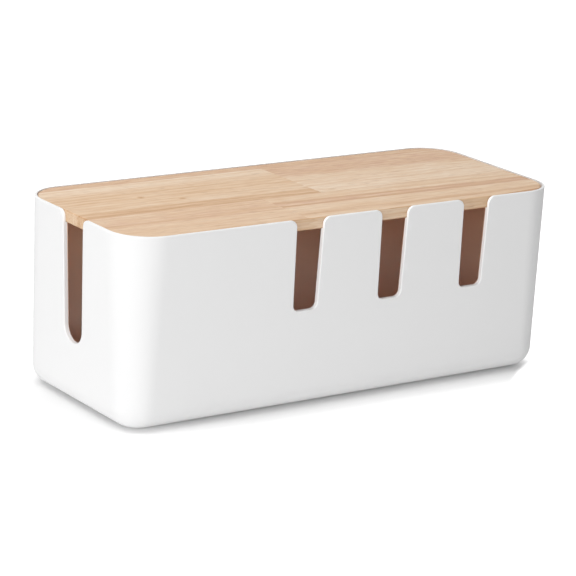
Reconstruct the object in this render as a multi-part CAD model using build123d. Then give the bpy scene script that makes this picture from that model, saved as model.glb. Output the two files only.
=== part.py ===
from build123d import *
from math import hypot
import os

# A cable management box: a white moulded tub with cable slots, a wooden lid that drops inside its
# rim and lifts off, and rubber feet. Millimetres. +X runs along the box, +Y from the slotted long
# side to the plain one, +Z up. The origin is under the middle of the box, on the surface it rests on.

# Tub, measured over the outer skin at the rim
length = 305.0
width = 123.0
tub_height = 113.5
end_draft = 3.8                 # how far each short side leans in from rim to underside
side_draft = 2.5                # how far each long side leans in from rim to underside
rim_corner_radius = 24.0        # corners seen from above, at the rim
base_corner_radius = 16.0       # corners seen from above, at the underside
base_fillet = 12.0              # round from the walls to the underside
wall = 2.8
floor_thickness = 2.8
rim_wall = 1.5                  # thinner wall beside the lid
rim_edge_round = 0.5            # softened outer edge of the rim and of the slots

# Cable slots, open at the rim
slot_mouth_radius = 4.5         # round between the rim and a slot's side

front_slot_count = 3
front_slot_pitch = 60.0
front_slot_middle = 27.5        # middle of the row, measured from the middle of the box
front_slot_rim_width = 18.8
front_slot_base_width = 16.6
front_slot_depth = 54.6
front_slot_corner_radius = 4.0

end_slot_rim_width = 21.7
end_slot_base_width = 18.9
end_slot_depth = 75.5
end_slot_roundness = 0.98       # 1 is a full half circle at the bottom of the slot

# Lid, an edge-glued board of staves
lid_thickness = 7.0
lid_recess = 0.2                # how far the lid's top lies below the rim
lid_clearance = 0.5             # gap to the rim wall all round, with the lid in the middle
lid_shift = -0.3                # the loose lid lies this far along X from the middle
lid_corner_extra = 0.6          # the lid's corners are rounder than the rim's by this much
lid_edge_round = 0.7
front_row_width = 46.5
back_row_width = 8.6            # the middle row is what is left of the lid's width
front_joint_x = -33.0           # end joint between the two front staves
middle_joint_x = 9.0            # end joint between the two middle staves
finger_length = 8.0
finger_count = 2                # fingers of an end joint, one above the other

# Rubber feet, stuck in shallow round recesses in the underside
foot_diameter = 12.0
foot_thickness = 1.6
foot_recess = 0.8
foot_side_clearance = 0.2
foot_edge_round = 0.4
foot_margin = 4.0               # from the flat underside's edge to a foot

# Heights that follow
underside_z = foot_thickness - foot_recess
rim_z = underside_z + tub_height
floor_z = underside_z + floor_thickness
lid_top_z = rim_z - lid_recess
ledge_z = lid_top_z - lid_thickness

cut_margin = 5.0                # how far a cutting body runs past what it cuts
touch = 0.03                    # what lies this close is taken as lying on it


def skin_size(z, inset):
    """Length, width and corner radius of the outline that lies inset from the outer skin at z."""
    drop = (rim_z - z) / tub_height
    section_length = length - 2 * (end_draft * drop + inset)
    section_width = width - 2 * (side_draft * drop + inset)
    radius = rim_corner_radius - (rim_corner_radius - base_corner_radius) * drop - inset
    return section_length, section_width, radius


def skin_block(z_low, z_high, inset):
    """Solid whose sides follow the tub's leaning skin at an even inset."""
    sections = [Plane.XY.offset(z) * RectangleRounded(*skin_size(z, inset)) for z in (z_low, z_high)]
    return loft(sections, ruled=True)


def bottom_edges(solid):
    """Edges of the lowest face of a solid."""
    return solid.faces().sort_by(Axis.Z)[0].edges()


def slot_profile(rim_width, base_width, depth, corner_radius):
    """Slot seen square on: it narrows downwards and ends in two round corners."""
    bottom = rim_z - depth
    top = rim_z + cut_margin
    top_width = rim_width + (rim_width - base_width) * cut_margin / depth
    outline = Polyline(
        (-base_width / 2, bottom),
        (base_width / 2, bottom),
        (top_width / 2, top),
        (-top_width / 2, top),
        close=True,
    )
    face = make_face(outline)
    base_corners = face.vertices().sort_by(Axis.Y)[:2]
    return fillet(base_corners, corner_radius)


def front_slot_cutters():
    """Bodies that cut the row of slots through the front wall."""
    profile = slot_profile(
        front_slot_rim_width, front_slot_base_width, front_slot_depth, front_slot_corner_radius
    )
    cut_depth = side_draft + wall + 2 * cut_margin
    cutters = []
    for number in range(front_slot_count):
        x = front_slot_middle + (number - (front_slot_count - 1) / 2) * front_slot_pitch
        plane = Plane(origin=(x, -width / 2 - cut_margin, 0), x_dir=(1, 0, 0), z_dir=(0, -1, 0))
        cutters.append(extrude(plane * profile, amount=-cut_depth))
    return cutters


def end_slot_cutter():
    """Body that cuts the round-ended slot through the middle of the left short wall."""
    corner_radius = end_slot_roundness * end_slot_base_width / 2
    profile = slot_profile(end_slot_rim_width, end_slot_base_width, end_slot_depth, corner_radius)
    cut_depth = end_draft + wall + 2 * cut_margin
    plane = Plane(origin=(-length / 2 - cut_margin, 0, 0), x_dir=(0, -1, 0), z_dir=(-1, 0, 0))
    return extrude(plane * profile, amount=-cut_depth)


def foot_places():
    """Name and centre of each foot."""
    flat_length, flat_width, _ = skin_size(underside_z, base_fillet)
    x = flat_length / 2 - foot_margin - foot_diameter / 2
    y = flat_width / 2 - foot_margin - foot_diameter / 2
    return {
        "foot_front_left": (-x, -y),
        "foot_front_right": (x, -y),
        "foot_back_left": (-x, y),
        "foot_back_right": (x, y),
    }


def skin_distance(point):
    """How far a point lies outside the tub's leaning skin."""
    section_length, section_width, radius = skin_size(point.Z, 0)
    beside = abs(point.X) - (section_length / 2 - radius)
    before = abs(point.Y) - (section_width / 2 - radius)
    return hypot(max(beside, 0), max(before, 0)) + min(max(beside, before), 0) - radius


def slot_mouth_edges(tub):
    """Short edges across the rim, where a slot's side meets it."""
    on_rim = tub.edges().filter_by(lambda edge: edge.bounding_box().min.Z > rim_z - touch)
    return on_rim.filter_by(lambda edge: edge.length < rim_wall + touch)


def outer_opening_edges(tub):
    """Outer edges of the rim and of the slots, without the seams that run down the corners."""
    lowest = underside_z + base_fillet + touch

    def borders_opening(edge):
        points = [edge.position_at(share) for share in (0, 0.2, 0.5, 0.8, 1)]
        on_skin = all(abs(skin_distance(point)) < touch for point in points)
        return on_skin and min(point.Z for point in points) > lowest

    return tub.edges().filter_by(borders_opening)


def make_tub():
    """One moulding: leaning walls, rounded underside, a step that carries the lid, and the slots."""
    outside = skin_block(underside_z, rim_z, 0)
    outside = fillet(bottom_edges(outside), base_fillet)
    inside = skin_block(floor_z, ledge_z + cut_margin, wall)
    inside = fillet(bottom_edges(inside), base_fillet - wall)
    lid_pocket = skin_block(ledge_z, rim_z + cut_margin, rim_wall)
    tub = outside - inside - lid_pocket
    for cutter in [*front_slot_cutters(), end_slot_cutter()]:
        tub -= cutter
    tub = fillet(slot_mouth_edges(tub), slot_mouth_radius)
    tub = fillet(outer_opening_edges(tub), rim_edge_round)
    recess = Cylinder(
        foot_diameter / 2 + foot_side_clearance, foot_recess, align=(Align.CENTER, Align.CENTER, Align.MIN)
    )
    for x, y in foot_places().values():
        tub -= Pos(x, y, underside_z) * recess
    return tub


def make_foot(x, y):
    """Flat rubber disc with a softened lower edge."""
    disc = Cylinder(foot_diameter / 2, foot_thickness, align=(Align.CENTER, Align.CENTER, Align.MIN))
    disc = fillet(bottom_edges(disc), foot_edge_round)
    return Pos(x, y, 0) * disc


def lid_size():
    """Length, width and corner radius of the lid."""
    pocket_length, pocket_width, pocket_radius = skin_size(ledge_z, rim_wall)
    corner_radius = pocket_radius - lid_clearance + lid_corner_extra
    return pocket_length - 2 * lid_clearance, pocket_width - 2 * lid_clearance, corner_radius


def make_board():
    """The whole lid, before it is divided into its staves."""
    board = extrude(Plane.XY.offset(ledge_z) * RectangleRounded(*lid_size()), amount=lid_thickness)
    rims = board.faces().filter_by(Axis.Z).edges()
    return Pos(lid_shift, 0, 0) * fillet(rims, lid_edge_round)


def joint_line(x):
    """Points of an end joint from the lid's underside to its top: fingers stacked through the board."""
    step = lid_thickness / finger_count / 2
    points = []
    for number in range(2 * finger_count + 1):
        reach = finger_length if number % 2 else 0
        points.append((x + reach, ledge_z + number * step))
    return points


def row_span(row):
    """Lowest and highest y of a row of staves, counted from the front."""
    lid_side = lid_size()[1] / 2
    row_limits = (-lid_side, -lid_side + front_row_width, lid_side - back_row_width, lid_side)
    return row_limits[row], row_limits[row + 1]


def stave(board, row, left_joint=None, right_joint=None):
    """The part of the board in one row, between two end joints or the ends of the lid."""
    y_low, y_high = row_span(row)
    past_lid = length / 2       # the board ends before this
    left = joint_line(left_joint) if left_joint is not None else [(-past_lid, ledge_z), (-past_lid, lid_top_z)]
    right = joint_line(right_joint) if right_joint is not None else [(past_lid, ledge_z), (past_lid, lid_top_z)]
    outline = make_face(Polyline(*left, *reversed(right), close=True))
    plane = Plane(origin=(0, y_low, 0), x_dir=(1, 0, 0), z_dir=(0, -1, 0))
    return board & extrude(plane * outline, amount=-(y_high - y_low))


def make_staves():
    """All staves of the lid by name."""
    board = make_board()
    return {
        "lid_stave_front_left": stave(board, 0, right_joint=front_joint_x),
        "lid_stave_front_right": stave(board, 0, left_joint=front_joint_x),
        "lid_stave_middle_left": stave(board, 1, right_joint=middle_joint_x),
        "lid_stave_middle_right": stave(board, 1, left_joint=middle_joint_x),
        "lid_stave_back": stave(board, 2),
    }


def main():
    os.makedirs("parts", exist_ok=True)
    nodes = {"tub": make_tub()}
    nodes.update(make_staves())
    for name, (x, y) in foot_places().items():
        nodes[name] = make_foot(x, y)
    for name, shape in nodes.items():
        export_step(shape, f"parts/{name}.step")


main()
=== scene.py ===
import math

import bpy
from mathutils import Matrix, Vector


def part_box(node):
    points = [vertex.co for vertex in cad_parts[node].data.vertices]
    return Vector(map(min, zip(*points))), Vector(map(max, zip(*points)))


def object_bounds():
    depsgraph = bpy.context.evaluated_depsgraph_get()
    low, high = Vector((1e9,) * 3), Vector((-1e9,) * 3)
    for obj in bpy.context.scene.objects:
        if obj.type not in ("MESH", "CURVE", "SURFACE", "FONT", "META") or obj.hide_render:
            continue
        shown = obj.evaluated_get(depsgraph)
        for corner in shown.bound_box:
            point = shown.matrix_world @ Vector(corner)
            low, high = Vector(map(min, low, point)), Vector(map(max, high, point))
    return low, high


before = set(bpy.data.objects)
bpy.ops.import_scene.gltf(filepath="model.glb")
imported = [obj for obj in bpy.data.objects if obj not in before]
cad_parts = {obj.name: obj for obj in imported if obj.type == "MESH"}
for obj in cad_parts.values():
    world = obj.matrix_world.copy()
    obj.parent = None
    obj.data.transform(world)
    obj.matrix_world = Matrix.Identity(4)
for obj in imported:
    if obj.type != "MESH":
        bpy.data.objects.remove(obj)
cad_low, cad_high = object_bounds()

# ---------------------------------------------------------------------------------------------
# Tub. One injection moulding in white ABS, walls leaning out so that it leaves the tool, with the cable slots
# and the step for the lid moulded in. Its inside carries a thin tan coat, coloured paler than the coat itself
# and paler still towards the floor: painted light for the dim inside.
# ---------------------------------------------------------------------------------------------


def linear(hex_colour):
    """Linear RGBA of an sRGB hex colour."""
    channels = [int(hex_colour[i:i + 2], 16) / 255 for i in (1, 3, 5)]
    return [c / 12.92 if c <= 0.04045 else ((c + 0.055) / 1.055) ** 2.4 for c in channels] + [1.0]


def node(tree, kind, inputs=None, **settings):
    """Adds a node: settings are its properties, and each input takes a value or another node's output."""
    added = tree.nodes.new(kind)
    for setting, value in settings.items():
        setattr(added, setting, value)
    for name, value in (inputs or {}).items():
        if isinstance(value, bpy.types.NodeSocket):
            tree.links.new(value, added.inputs[name])
        else:
            added.inputs[name].default_value = value
    return added


tub_white = "#F2F2F2"
# The sides of the slots are painted whiter than the walls: painted light for the light they catch.
tub_slot_painted_light_white = "#FDFDFD"
# Partly the coat's own tan and partly painted light: paler than the coat, for the dim inside.
tub_inside_tan_and_painted_light = "#FDD7B8"
tub_wall = 0.0028
tub_height = 0.1135
tub_floor_top = 0.0036
tub_step_top = 0.1071
tub_end_lean = 0.0038 / tub_height   # how far an end wall leans out for each metre of height
tub_side_lean = 0.0025 / tub_height
coat_edge = 0.0003                   # the coat runs this far round the inner edge of a slot
coat_painted_light_heights = 0.030, 0.095            # heights between which less tan is mixed in downwards: painted light that makes the inside paler
coat_floor_share_painted_light = 0.45                 # share of the tan that is left at the floor
front_slots_reach = 0.120            # the front slots lie this close to the middle, along the box
end_slot_reach = 0.030               # the end slot lies this close to the middle, across the box
slot_polish = 0.25                   # how much less rough the sides of the slots are
spark_grain = 0.0008                 # real grain is near 0.1 mm; coarser here so that it shows
satin = 0.56, 0.64                   # roughness over the grain
wall_wave = 0.060                    # slow unevenness of a cooled moulding


def coat_cover(tree, place, spot):
    """Share of tan over white. The coat lies on what faces the middle of the tub, within the inner faces of
    the walls and below the step for the lid. Less tan is mixed in towards the floor, painted light that makes
    the dim inside paler there."""
    middle = (0, 0, (tub_floor_top + tub_step_top) / 2)
    outward = node(
        tree, "ShaderNodeVectorMath", {0: place.outputs["Object"], 1: middle}, operation="SUBTRACT"
    )
    facing = node(
        tree,
        "ShaderNodeVectorMath",
        {0: place.outputs["Normal"], 1: outward.outputs[0]},
        operation="DOT_PRODUCT",
    )
    coat_top = tub_step_top - coat_edge
    limits = [
        node(tree, "ShaderNodeMath", {0: facing.outputs["Value"], 1: 0.0}, operation="LESS_THAN"),
        node(tree, "ShaderNodeMath", {0: spot.outputs["Z"], 1: coat_top}, operation="LESS_THAN"),
    ]
    for axis, rim_half, lean in (("X", cad_high.x, tub_end_lean), ("Y", cad_high.y, tub_side_lean)):
        reach = rim_half - tub_wall + coat_edge - lean * cad_high.z
        inner_face = node(
            tree, "ShaderNodeMath", {0: spot.outputs["Z"], 1: lean, 2: reach}, operation="MULTIPLY_ADD"
        )
        distance = node(tree, "ShaderNodeMath", {0: spot.outputs[axis]}, operation="ABSOLUTE")
        limits.append(
            node(
                tree,
                "ShaderNodeMath",
                {0: distance.outputs[0], 1: inner_face.outputs[0]},
                operation="LESS_THAN",
            )
        )
    # Painted light: less tan towards the floor makes the inside paler where it is seen through the slots.
    cover = node(
        tree,
        "ShaderNodeMapRange",
        {
            "Value": spot.outputs["Z"],
            "From Min": coat_painted_light_heights[0],
            "From Max": coat_painted_light_heights[1],
            "To Min": coat_floor_share_painted_light,
            "To Max": 1.0,
        },
    )
    for limit in limits:
        cover = node(tree, "ShaderNodeMath", {0: cover.outputs[0], 1: limit.outputs[0]}, operation="MULTIPLY")
    return cover.outputs[0]


def slot_side_share(tree, place, spot):
    """1 on the sides of the slots, which face along the box or across it, and 0 elsewhere."""
    facing = node(tree, "ShaderNodeVectorMath", {0: place.outputs["Normal"]}, operation="ABSOLUTE")
    facing = node(tree, "ShaderNodeSeparateXYZ", {0: facing.outputs[0]})
    share = 0.0
    for axis, reach in (("X", front_slots_reach), ("Y", end_slot_reach)):
        distance = node(tree, "ShaderNodeMath", {0: spot.outputs[axis]}, operation="ABSOLUTE")
        within = node(tree, "ShaderNodeMath", {0: distance.outputs[0], 1: reach}, operation="LESS_THAN")
        share = node(
            tree,
            "ShaderNodeMath",
            {0: facing.outputs[axis], 1: within.outputs[0], 2: share},
            operation="MULTIPLY_ADD",
        ).outputs[0]
    return share


def moulded_abs():
    """White ABS out of a spark-eroded tool: an even fine satin outside, a smoother polish on the sides of the
    slots, where the tool shuts off, and the tan coat inside. The sides of the slots are also painted whiter
    than the walls: painted light for the light they catch."""
    material = bpy.data.materials.new("abs_white_spark_eroded")
    material.use_nodes = True
    tree = material.node_tree
    shader = tree.nodes["Principled BSDF"]
    place = node(tree, "ShaderNodeTexCoord")
    spot = node(tree, "ShaderNodeSeparateXYZ", {0: place.outputs["Object"]})

    polish_and_painted_light = slot_side_share(tree, place, spot)
    # Painted light: the sides of the slots take a whiter colour than the walls.
    colour = node(
        tree,
        "ShaderNodeMix",
        {0: polish_and_painted_light, 6: linear(tub_white), 7: linear(tub_slot_painted_light_white)},
        data_type="RGBA",
    )
    colour = node(
        tree,
        "ShaderNodeMix",
        {0: coat_cover(tree, place, spot), 6: colour.outputs[2], 7: linear(tub_inside_tan_and_painted_light)},
        data_type="RGBA",
    )

    grain = node(
        tree,
        "ShaderNodeTexNoise",
        {"Vector": place.outputs["Object"], "Scale": 1 / spark_grain, "Detail": 2.0},
    )
    wave = node(
        tree,
        "ShaderNodeTexNoise",
        {"Vector": place.outputs["Object"], "Scale": 1 / wall_wave, "Detail": 0.0},
    )
    roughness = node(
        tree,
        "ShaderNodeMapRange",
        {"Value": grain.outputs[0], "From Min": 0.3, "From Max": 0.7, "To Min": satin[0], "To Max": satin[1]},
    )
    roughness = node(
        tree,
        "ShaderNodeMath",
        {0: polish_and_painted_light, 1: -slot_polish, 2: roughness.outputs[0]},
        operation="MULTIPLY_ADD",
    )
    slow = node(
        tree, "ShaderNodeBump", {"Height": wave.outputs[0], "Strength": 0.6, "Distance": 0.0004}
    )
    fine = node(
        tree,
        "ShaderNodeBump",
        {"Height": grain.outputs[0], "Strength": 0.25, "Distance": 0.00002, "Normal": slow.outputs[0]},
    )
    tree.links.new(colour.outputs[2], shader.inputs["Base Color"])
    tree.links.new(roughness.outputs[0], shader.inputs["Roughness"])
    tree.links.new(fine.outputs[0], shader.inputs["Normal"])
    shader.inputs["IOR"].default_value = 1.54
    shader.inputs["Specular IOR Level"].default_value = 0.15
    return material


def dress(name, material):
    """Gives a CAD node its finish."""
    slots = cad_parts[name].data.materials
    slots.clear()
    slots.append(material)


dress("tub", moulded_abs())

# ---------------------------------------------------------------------------------------------
# Lid. Five staves of rubberwood, finger-jointed end to end and glued edge to edge, planed, given
# round corners and eased edges, sanded and thinly oiled. Each stave comes from another log.
# ---------------------------------------------------------------------------------------------

lid_glue_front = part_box("lid_stave_front_left")[1][1]
lid_glue_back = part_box("lid_stave_back")[0][1]
wood_pale = "#EDDAC4"
wood_middling = "#DBBA97"
wood_deep = "#BC8F67"
wood_rosy = "#CDA58E"
pore_brown = "#8F6647"
pore_stain = 0.26                    # how strongly the pores show
fibre_depth = 0.85
drift_depth = 0.30
eased_edge_painted_shade = 0.30                      # painted shade: how much deeper the eased edges turn
ring_wander = 7.0                    # mm by which the rings stray to either side along the grain
log_apart = 410                      # mm along the grain from one seed's figures to the next
mm_per_metre = 1000

# Lengths in mm, the rest as shares of the whole. pith: where the middle of the log would lie, as (y, z)
# from the middle of the box's base. ring: width of a growth ring. tone, rings, red and flecks: depth
# of the stave's colour, of its rings, of its redness and of its flecks. seed: its place in the figures.
# streaks and painted shadow: y at x = 0, slope, half width, depth of colour, redness, waviness and softness.
# glue_line: what follows y in a streak. knots: x, y, half length, half width and depth of colour.
glue_line = (0.0, 0.35, 0.22, 0.3, 0.0, 0.8)
staves = {
    "lid_stave_front_left": {
        "pith": (-150, 70), "ring": 6.5, "tone": 0.38, "rings": 0.06, "red": 0.22, "flecks": 0.20, "seed": 1,
        "streaks_and_painted_shadow": (
            (-15.6, 0.0, 0.5, 0.16, 0.4, 0.5, 0.9),
            (-38.0, -0.05, 1.1, 0.16, 0.2, 2.0, 0.9),
            (-27.0, 0.0, 7.0, 0.08, 0.3, 5.0, 0.9),
        ),
    },
    "lid_stave_front_right": {
        "pith": (60, 60), "ring": 5.5, "tone": 0.37, "rings": 0.10, "red": 0.10, "flecks": 0.25, "seed": 2,
        "streaks_and_painted_shadow": (
            (-25.6, -0.028, 1.5, 0.40, 0.5, 0.8, 0.8),
            (-33.0, -0.012, 1.2, 0.36, 0.5, 1.5, 0.8),
            (-29.5, -0.020, 3.0, 0.14, 0.5, 1.0, 0.9),
            (-51.5, 0.0, 2.4, 0.22, 0.2, 3.0, 0.8),
            # Painted shadow, not a streak in the wood: a dark band along the lid's front edge towards the
            # right corner.
            (-72.8, 0.110, 2.0, 0.90, 0.0, 0.2, 0.5),
        ),
    },
    "lid_stave_middle_left": {
        "pith": (-240, 90), "ring": 4.6, "tone": 0.42, "rings": 0.10, "red": 0.06, "flecks": 0.30, "seed": 3,
        "streaks_and_painted_shadow": (
            (-7.0, 0.0, 5.6, 0.20, 0.0, 0.3, 0.15),
            (-10.5, 0.0, 1.4, 0.10, 0.0, 0.6, 0.9),
            (-3.5, 0.0, 1.2, 0.10, 0.0, 0.6, 0.9),
            (17.5, 0.0, 1.5, 0.14, 0.0, 1.0, 0.8),
            (46.5, 0.0, 6.5, -0.22, 0.0, 0.5, 0.5),
        ),
        "knots": ((-96.5, 19.0, 3.0, 3.6, 0.42), (-75.0, 7.6, 3.4, 2.4, 0.42)),
    },
    "lid_stave_middle_right": {
        "pith": (190, 60), "ring": 5.2, "tone": 0.25, "rings": 0.10, "red": 0.10, "flecks": 0.40, "seed": 4,
        "streaks_and_painted_shadow": ((43.0, -0.03, 15.0, 0.20, 0.6, 3.5, 0.35), (3.0, 0.0, 9.0, -0.04, 0.0, 4.0, 0.9)),
    },
    "lid_stave_back": {
        "pith": (200, 80), "ring": 4.2, "tone": 0.56, "rings": 0.12, "red": 0.55, "flecks": 0.60, "seed": 5,
        "streaks_and_painted_shadow": (),
    },
}


def wood_figures(tree, log):
    """The figures in the wood, each with its length along the grain and its width across it in mm,
    and its detail. Real pores are near 0.2 mm wide; they are broader here so that they show."""
    figures = {}
    for title, (along, across, detail) in {
        "sway": (150, 60, 1),
        "drift": (190, 26, 2),
        "fibre": (34, 1.0, 3),
        "pore": (9.0, 0.6, 0),
        "fleck": (9, 1.6, 2),
    }.items():
        stretched = node(
            tree,
            "ShaderNodeVectorMath",
            {0: log, 1: (1 / along, 1 / across, 1 / across)},
            operation="MULTIPLY",
        )
        figures[title] = node(
            tree, "ShaderNodeTexNoise", {"Vector": stretched.outputs[0], "Scale": 1.0, "Detail": detail}
        ).outputs[0]
    return figures


def growth_rings(tree, board, sway, stave):
    """Latewood of the rings about the middle of the log, which wanders a little along the grain. Each
    year's ring has its own strength."""
    off_middle = node(tree, "ShaderNodeVectorMath", {0: board, 1: (0, *stave["pith"])}, operation="SUBTRACT")
    across_log = node(
        tree, "ShaderNodeVectorMath", {0: off_middle.outputs[0], 1: (0, 1, 1)}, operation="MULTIPLY"
    )
    radius = node(tree, "ShaderNodeVectorMath", {0: across_log.outputs[0]}, operation="LENGTH")
    wander = node(
        tree,
        "ShaderNodeMapRange",
        {"Value": sway, "From Min": 0.0, "From Max": 1.0, "To Min": -ring_wander, "To Max": ring_wander},
    )
    radius = node(
        tree, "ShaderNodeMath", {0: radius.outputs["Value"], 1: wander.outputs[0]}, operation="ADD"
    )
    rings = node(tree, "ShaderNodeMath", {0: radius.outputs[0], 1: stave["ring"]}, operation="DIVIDE")
    share = node(tree, "ShaderNodeMath", {0: rings.outputs[0], 1: 0.5}, operation="PINGPONG")
    year = node(tree, "ShaderNodeMath", {0: rings.outputs[0]}, operation="FLOOR")
    strength = node(tree, "ShaderNodeTexWhiteNoise", {"W": year.outputs[0]}, noise_dimensions="1D")
    latewood = node(
        tree,
        "ShaderNodeMapRange",
        {"Value": share.outputs[0], "From Min": 0.0, "From Max": 0.45, "To Min": 0.0, "To Max": 1.0},
        interpolation_type="SMOOTHSTEP",
    )
    return node(
        tree,
        "ShaderNodeMath",
        {0: latewood.outputs[0], 1: strength.outputs["Value"]},
        operation="MULTIPLY",
    ).outputs[0]


def streak_share(tree, spot, sway, y, slope, half_width, waviness, softness):
    """1 in the middle of a streak that runs nearly along the grain, fading to 0 beside it."""
    bend = node(
        tree, "ShaderNodeMath", {0: sway, 1: 2 * waviness, 2: -waviness - y}, operation="MULTIPLY_ADD"
    )
    bend = node(
        tree,
        "ShaderNodeMath",
        {0: spot.outputs["X"], 1: -slope, 2: bend.outputs[0]},
        operation="MULTIPLY_ADD",
    )
    aside = node(tree, "ShaderNodeMath", {0: spot.outputs["Y"], 1: bend.outputs[0]}, operation="ADD")
    aside = node(tree, "ShaderNodeMath", {0: aside.outputs[0]}, operation="ABSOLUTE")
    return node(
        tree,
        "ShaderNodeMapRange",
        {
            "Value": aside.outputs[0],
            "From Min": half_width * (1 - softness),
            "From Max": half_width * (1 + softness),
            "To Min": 1.0,
            "To Max": 0.0,
        },
        interpolation_type="SMOOTHSTEP",
    ).outputs[0]


def knot_depth(tree, board, x, y, half_length, half_width, depth):
    """Depth of colour of a pin knot, fading out at its rim."""
    aside = node(tree, "ShaderNodeVectorMath", {0: board, 1: (x, y, 0)}, operation="SUBTRACT")
    aside = node(
        tree,
        "ShaderNodeVectorMath",
        {0: aside.outputs[0], 1: (1 / half_length, 1 / half_width, 0)},
        operation="MULTIPLY",
    )
    aside = node(tree, "ShaderNodeVectorMath", {0: aside.outputs[0]}, operation="LENGTH")
    return node(
        tree,
        "ShaderNodeMapRange",
        {"Value": aside.outputs["Value"], "From Min": 0.1, "From Max": 1.0, "To Min": depth, "To Max": 0.0},
        interpolation_type="SMOOTHSTEP",
    ).outputs[0]


def rubberwood(name, stave):
    """Rubberwood, planed and oiled: pale, straight in the grain, with open pores as short dark dashes."""
    material = bpy.data.materials.new("rubberwood_sanded_oiled_" + name.removeprefix("lid_stave_"))
    material.use_nodes = True
    tree = material.node_tree
    shader = tree.nodes["Principled BSDF"]
    place = node(tree, "ShaderNodeTexCoord")
    board = node(
        tree,
        "ShaderNodeVectorMath",
        {0: place.outputs["Object"], 1: (mm_per_metre, mm_per_metre, mm_per_metre)},
        operation="MULTIPLY",
    ).outputs[0]
    log = node(
        tree, "ShaderNodeVectorMath", {0: board, 1: (log_apart * stave["seed"], 0, 0)}, operation="ADD"
    ).outputs[0]
    spot = node(tree, "ShaderNodeSeparateXYZ", {0: board})
    figures = wood_figures(tree, log)

    # Depth of colour: the stave's own tone, its rings, fibres, slow drift and flecks, its streaks and knots,
    # a painted shadow along the front edge towards the right corner, and painted shade on the eased edges.
    # Redness: the stave's own and that of its streaks.
    depth = node(
        tree,
        "ShaderNodeMath",
        {
            0: growth_rings(tree, board, figures["sway"], stave),
            1: 2 * stave["rings"],
            2: stave["tone"] - 0.5 * stave["rings"],
        },
        operation="MULTIPLY_ADD",
    ).outputs[0]
    for title, amount in (("fibre", fibre_depth), ("drift", drift_depth), ("fleck", stave["flecks"])):
        change = node(
            tree, "ShaderNodeMath", {0: figures[title], 1: amount, 2: -amount / 2}, operation="MULTIPLY_ADD"
        )
        depth = node(tree, "ShaderNodeMath", {0: depth, 1: change.outputs[0]}, operation="ADD").outputs[0]
    redness = stave["red"]
    glue_lines = [(mm_per_metre * y, *glue_line) for y in (lid_glue_front, lid_glue_back)]
    for y, slope, half_width, amount, red, waviness, softness in list(stave["streaks_and_painted_shadow"]) + glue_lines:
        share = streak_share(tree, spot, figures["sway"], y, slope, half_width, waviness, softness)
        depth = node(
            tree, "ShaderNodeMath", {0: share, 1: amount, 2: depth}, operation="MULTIPLY_ADD"
        ).outputs[0]
        redness = node(
            tree, "ShaderNodeMath", {0: share, 1: red, 2: redness}, operation="MULTIPLY_ADD"
        ).outputs[0]
    for knot in stave.get("knots", ()):
        deeper = knot_depth(tree, board, *knot)
        depth = node(tree, "ShaderNodeMath", {0: depth, 1: deeper}, operation="ADD").outputs[0]
    # Painted shade: the eased edges, where the surface turns from the top to the sides, are coloured deeper.
    upright = node(tree, "ShaderNodeSeparateXYZ", {0: place.outputs["Normal"]})
    eased = node(tree, "ShaderNodeMath", {0: upright.outputs["Z"], 1: 0.5}, operation="PINGPONG")
    depth = node(
        tree, "ShaderNodeMath", {0: eased.outputs[0], 1: 2 * eased_edge_painted_shade, 2: depth}, operation="MULTIPLY_ADD"
    ).outputs[0]

    tint = node(tree, "ShaderNodeValToRGB", {"Fac": depth})
    stops = tint.color_ramp.elements
    stops[0].position, stops[0].color = 0.0, linear(wood_pale)
    stops[1].position, stops[1].color = 1.0, linear(wood_deep)
    middle_stop = stops.new(0.5)
    middle_stop.color = linear(wood_middling)
    flecks = node(
        tree,
        "ShaderNodeMapRange",
        {"Value": figures["fleck"], "From Min": 0.35, "From Max": 0.70, "To Min": 0.15, "To Max": 1.0},
    )
    redness = node(tree, "ShaderNodeMath", {0: redness, 1: flecks.outputs[0]}, operation="MULTIPLY")
    tint = node(
        tree,
        "ShaderNodeMix",
        {0: redness.outputs[0], 6: tint.outputs[0], 7: linear(wood_rosy)},
        data_type="RGBA",
    )
    pores = node(
        tree,
        "ShaderNodeMapRange",
        {"Value": figures["pore"], "From Min": 0.64, "From Max": 0.74, "To Min": 0.0, "To Max": pore_stain},
    )
    tint = node(
        tree,
        "ShaderNodeMix",
        {0: pores.outputs[0], 6: tint.outputs[2], 7: linear(pore_brown)},
        data_type="RGBA",
    )
    relief = node(
        tree,
        "ShaderNodeMath",
        {0: pores.outputs[0], 1: -2.0, 2: figures["fibre"]},
        operation="MULTIPLY_ADD",
    )
    surface = node(
        tree, "ShaderNodeBump", {"Height": relief.outputs[0], "Strength": 0.5, "Distance": 0.00006}
    )
    roughness = node(
        tree,
        "ShaderNodeMapRange",
        {"Value": figures["fibre"], "From Min": 0.3, "From Max": 0.7, "To Min": 0.50, "To Max": 0.60},
    )
    tree.links.new(tint.outputs[2], shader.inputs["Base Color"])
    tree.links.new(roughness.outputs[0], shader.inputs["Roughness"])
    tree.links.new(surface.outputs[0], shader.inputs["Normal"])
    shader.inputs["IOR"].default_value = 1.48
    shader.inputs["Specular IOR Level"].default_value = 0.25
    return material


for stave_name, stave in staves.items():
    dress(stave_name, rubberwood(stave_name, stave))

# ---------------------------------------------------------------------------------------------
# Feet. Four discs die-cut from dark rubber sheet and stuck in shallow recesses under the tub, so
# that it doesn't slide and its underside stands clear of the desk.
# ---------------------------------------------------------------------------------------------

rubber_black = "#262626"
rubber_bloom = "#343332"
rubber_tooth = 0.0015                # real tooth is near 0.3 mm; coarser here so that it shows


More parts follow.
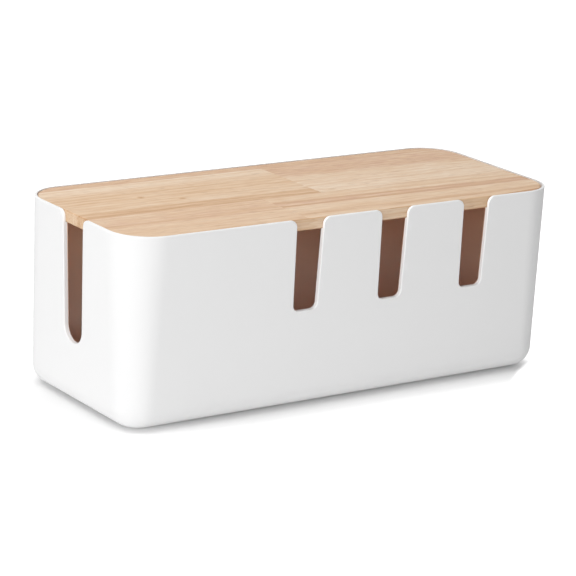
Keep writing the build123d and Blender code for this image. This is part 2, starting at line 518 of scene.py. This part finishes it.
def cut_rubber():
    """Black sheet rubber: matt, faintly mottled, with the fine tooth of the cloth it was rolled on."""
    material = bpy.data.materials.new("rubber_sheet_die_cut")
    material.use_nodes = True
    tree = material.node_tree
    shader = tree.nodes["Principled BSDF"]
    place = node(tree, "ShaderNodeTexCoord")
    mottle = node(
        tree,
        "ShaderNodeTexNoise",
        {"Vector": place.outputs["Object"], "Scale": 1 / rubber_tooth, "Detail": 3.0},
    )
    colour = node(
        tree,
        "ShaderNodeMix",
        {0: mottle.outputs[0], 6: linear(rubber_black), 7: linear(rubber_bloom)},
        data_type="RGBA",
    )
    tooth = node(tree, "ShaderNodeBump", {"Height": mottle.outputs[0], "Strength": 0.4, "Distance": 0.00005})
    tree.links.new(colour.outputs[2], shader.inputs["Base Color"])
    tree.links.new(tooth.outputs[0], shader.inputs["Normal"])
    shader.inputs["Roughness"].default_value = 0.85
    shader.inputs["IOR"].default_value = 1.52
    return material


foot_rubber = cut_rubber()
for foot in ("foot_front_left", "foot_front_right", "foot_back_left", "foot_back_right"):
    dress(foot, foot_rubber)

# ---------------------------------------------------------------------------------------------
# Studio. A white floor that runs out of sight, keeps the box's shadow close to it and is burnt out
# to white further off, a white room, and three soft lamps.
# ---------------------------------------------------------------------------------------------

floor_half = 6.0
floor_grey = "#EEEEEE"
floor_shade_radius = 0.035      # corner radius of the patch that keeps its shade
floor_white_from = 0.050        # distance from the patch at which the floor is burnt out
floor_burn_power = 1.6
floor_shade_insets = (0.0995, 0.047), (0.0237, 0.047)   # left and front, right and back
floor_shade_weights = (0.4, 1.0), (3.0, 1.0)            # how fast each side burns out
floor_slant = (1, -1.3, 0)                              # direction in which the front right burns out
floor_front_right = 0.2045, 0.216                       # distances along it where that starts and ends


def in_view(tree):
    """1 for what the camera sees, straight or in a reflection, and 0 for what only lights the box."""
    path = node(tree, "ShaderNodeLightPath")
    return node(
        tree,
        "ShaderNodeMath",
        {0: path.outputs["Is Camera Ray"], 1: path.outputs["Is Glossy Ray"]},
        operation="MAXIMUM",
    ).outputs[0]


def white_paper():
    """Matt white paper that keeps the box's shade close by and is burnt out to white further off."""
    paper = bpy.data.materials.new("studio_floor_white_paper")
    paper.use_nodes = True
    tree = paper.node_tree
    shader = tree.nodes["Principled BSDF"]
    shader.inputs["Base Color"].default_value = linear(floor_grey)
    shader.inputs["Roughness"].default_value = 0.9
    shader.inputs["Specular IOR Level"].default_value = 0.0
    place = node(tree, "ShaderNodeTexCoord")
    near_limit = cad_low + Vector((*floor_shade_insets[0], 0))
    far_limit = cad_high - Vector((*floor_shade_insets[1], 0))
    away = (0, 0, 0)
    for start, end, weights in (
        (near_limit, place.outputs["Object"], floor_shade_weights[0]),
        (place.outputs["Object"], far_limit, floor_shade_weights[1]),
    ):
        beyond = node(tree, "ShaderNodeVectorMath", {0: start, 1: end}, operation="SUBTRACT")
        beyond = node(tree, "ShaderNodeVectorMath", {0: beyond.outputs[0], 1: (0, 0, 0)}, operation="MAXIMUM")
        away = node(
            tree,
            "ShaderNodeVectorMath",
            {0: beyond.outputs[0], 1: (*weights, 0), 2: away},
            operation="MULTIPLY_ADD",
        ).outputs[0]
    away = node(tree, "ShaderNodeVectorMath", {0: away}, operation="LENGTH")
    away = node(
        tree,
        "ShaderNodeMapRange",
        {
            "Value": away.outputs["Value"],
            "From Min": floor_shade_radius,
            "From Max": floor_shade_radius + floor_white_from,
            "To Min": 0.0,
            "To Max": 1.0,
        },
    )
    burnt_out = node(
        tree, "ShaderNodeMath", {0: away.outputs[0], 1: floor_burn_power}, operation="POWER"
    )
    slant = node(
        tree, "ShaderNodeVectorMath", {0: place.outputs["Object"], 1: floor_slant}, operation="DOT_PRODUCT"
    )
    slant = node(
        tree,
        "ShaderNodeMapRange",
        {"Value": slant.outputs["Value"], "From Min": floor_front_right[0], "From Max": floor_front_right[1]},
        interpolation_type="SMOOTHSTEP",
    )
    burnt_out = node(
        tree, "ShaderNodeMath", {0: burnt_out.outputs[0], 1: slant.outputs[0]}, operation="MAXIMUM"
    )
    glow = node(tree, "ShaderNodeEmission", {"Color": (1, 1, 1, 1), "Strength": burnt_out.outputs[0]})
    dark = node(tree, "ShaderNodeEmission", {"Color": (0, 0, 0, 1), "Strength": 0.0})
    only_seen = node(tree, "ShaderNodeMixShader", {0: in_view(tree), 1: dark.outputs[0], 2: glow.outputs[0]})
    both = node(tree, "ShaderNodeAddShader", {0: shader.outputs[0], 1: only_seen.outputs[0]})
    tree.links.new(both.outputs[0], tree.nodes["Material Output"].inputs["Surface"])
    return paper


floor_mesh = bpy.data.meshes.new("studio_floor")
floor_corners = [(x * floor_half, y * floor_half, 0) for x, y in ((-1, -1), (1, -1), (1, 1), (-1, 1))]
floor_mesh.from_pydata(floor_corners, [], [(0, 1, 2, 3)])
floor_mesh.materials.append(white_paper())
floor = bpy.data.objects.new("studio_floor", floor_mesh)
bpy.context.scene.collection.objects.link(floor)

room_light = 0.305

world = bpy.data.worlds.new("studio_room")
world.use_nodes = True
bpy.context.scene.world = world
room = world.node_tree.nodes["Background"]
room.inputs["Color"].default_value = (1, 1, 1, 1)
room.inputs["Strength"].default_value = room_light
backdrop = node(world.node_tree, "ShaderNodeBackground", {"Color": (1, 1, 1, 1), "Strength": 1.0})
surround = node(
    world.node_tree,
    "ShaderNodeMixShader",
    {0: in_view(world.node_tree), 1: room.outputs[0], 2: backdrop.outputs[0]},
)
world.node_tree.links.new(surround.outputs[0], world.node_tree.nodes["World Output"].inputs["Surface"])

lamp_aim = Vector((0, 0, 0.05))

for lamp_name, lamp_place, lamp_size, watts in (
    ("softbox_top", Vector((-0.4, 0.0, 1.2)), 1.0, 10.0),
    ("softbox_left", Vector((-2.0, -0.7, 0.45)), 0.8, 9.1),
    ("softbox_front", Vector((-0.95, -1.3, 0.45)), 0.4, 5.8),
):
    lamp = bpy.data.lights.new(lamp_name, "AREA")
    lamp.shape = "SQUARE"
    lamp.size = lamp_size
    lamp.energy = watts
    holder = bpy.data.objects.new(lamp_name, lamp)
    holder.location = lamp_place
    holder.rotation_euler = (lamp_aim - lamp_place).to_track_quat("-Z", "Y").to_euler()
    bpy.context.scene.collection.objects.link(holder)

camera_place = (-0.8775073, -1.2256007, 0.4857270)
camera_heading = 0.6201056      # turned from +Y towards +X, in radians
camera_pitch = 0.2795451        # looking down
camera_roll = 0.0542902         # turned about its own line of sight
camera_focal_px = 2625.0231     # focal length in pixels of a frame 576 pixels wide
frame_px = 576

camera = bpy.data.cameras.new("studio_camera")
camera.sensor_width = 36.0
camera.lens = camera_focal_px / frame_px * camera.sensor_width
viewpoint = bpy.data.objects.new("studio_camera", camera)
viewpoint.matrix_world = (
    Matrix.Translation(camera_place)
    @ Matrix.Rotation(-camera_heading, 4, "Z")
    @ Matrix.Rotation(math.pi / 2 - camera_pitch, 4, "X")
    @ Matrix.Rotation(camera_roll, 4, "Z")
)
bpy.context.scene.collection.objects.link(viewpoint)
bpy.context.scene.camera = viewpoint
bpy.context.scene.view_settings.view_transform = "Standard"
bpy.context.scene.cycles.diffuse_bounces = 12   # the inside is lit only by what bounces about in it
